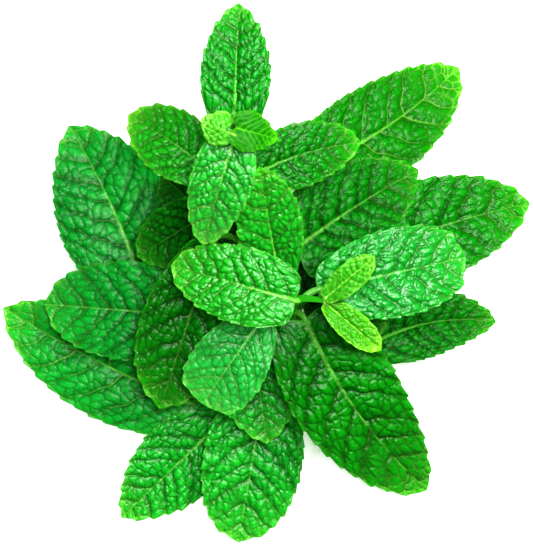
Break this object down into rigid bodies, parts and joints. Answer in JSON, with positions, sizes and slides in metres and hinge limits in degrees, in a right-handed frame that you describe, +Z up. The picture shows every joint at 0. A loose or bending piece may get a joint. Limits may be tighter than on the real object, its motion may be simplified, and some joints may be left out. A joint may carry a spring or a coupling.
{
  "type": "spearmint sprig",
  "caption": "Cut, branched sprig of spearmint lying down: a square green stem with upright leafy shoots and broad, toothed, quilted leaves in pairs, yellow-green at the growing tips",
  "frame": {"origin": "bottom centre of the box round the sprig, on the table that it lies on", "axes": "+Z up from the table; +X to the right of the picture, the way the stem's cut end points; +Y to the top of the picture, the way the taller shoot leans"},
  "size_m": [0.1481, 0.147, 0.0603],
  "materials": {
    "stem": "fresh green herb stem, satin",
    "leaf_mature": "fresh leaf, quilted, waxy semi-gloss",
    "leaf_bright": "fresh young leaf, quilted, waxy semi-gloss",
    "leaf_young": "just opened leaf, yellow-green, satin"
  },
  "bodies": {
    "root": {"stem": "stem", "leaf_a1": "leaf_bright", "leaf_a2": "leaf_young", "leaf_a3": "leaf_mature", "leaf_a4": "leaf_bright", "leaf_a5": "leaf_bright", "leaf_a6": "leaf_mature", "leaf_a7": "leaf_mature", "leaf_b1": "leaf_bright", "leaf_b2": "leaf_mature", "leaf_b3": "leaf_young", "leaf_b4": "leaf_young", "leaf_c1": "leaf_mature", "leaf_c2": "leaf_bright", "leaf_c3": "leaf_mature", "leaf_c4": "leaf_mature", "leaf_c5": "leaf_mature", "leaf_c6": "leaf_mature", "leaf_c7": "leaf_mature", "leaf_c8": "leaf_mature", "leaf_c9": "leaf_mature", "leaf_c10": "leaf_mature", "leaf_c11": "leaf_mature", "leaf_c12": "leaf_mature", "leaf_c13": "leaf_mature", "leaf_c14": "leaf_mature", "leaf_c15": "leaf_mature", "leaf_c16": "leaf_mature", "leaf_c17": "leaf_mature", "bud_a": "leaf_young", "bud_b": "leaf_young"}
  },
  "joints": []
}
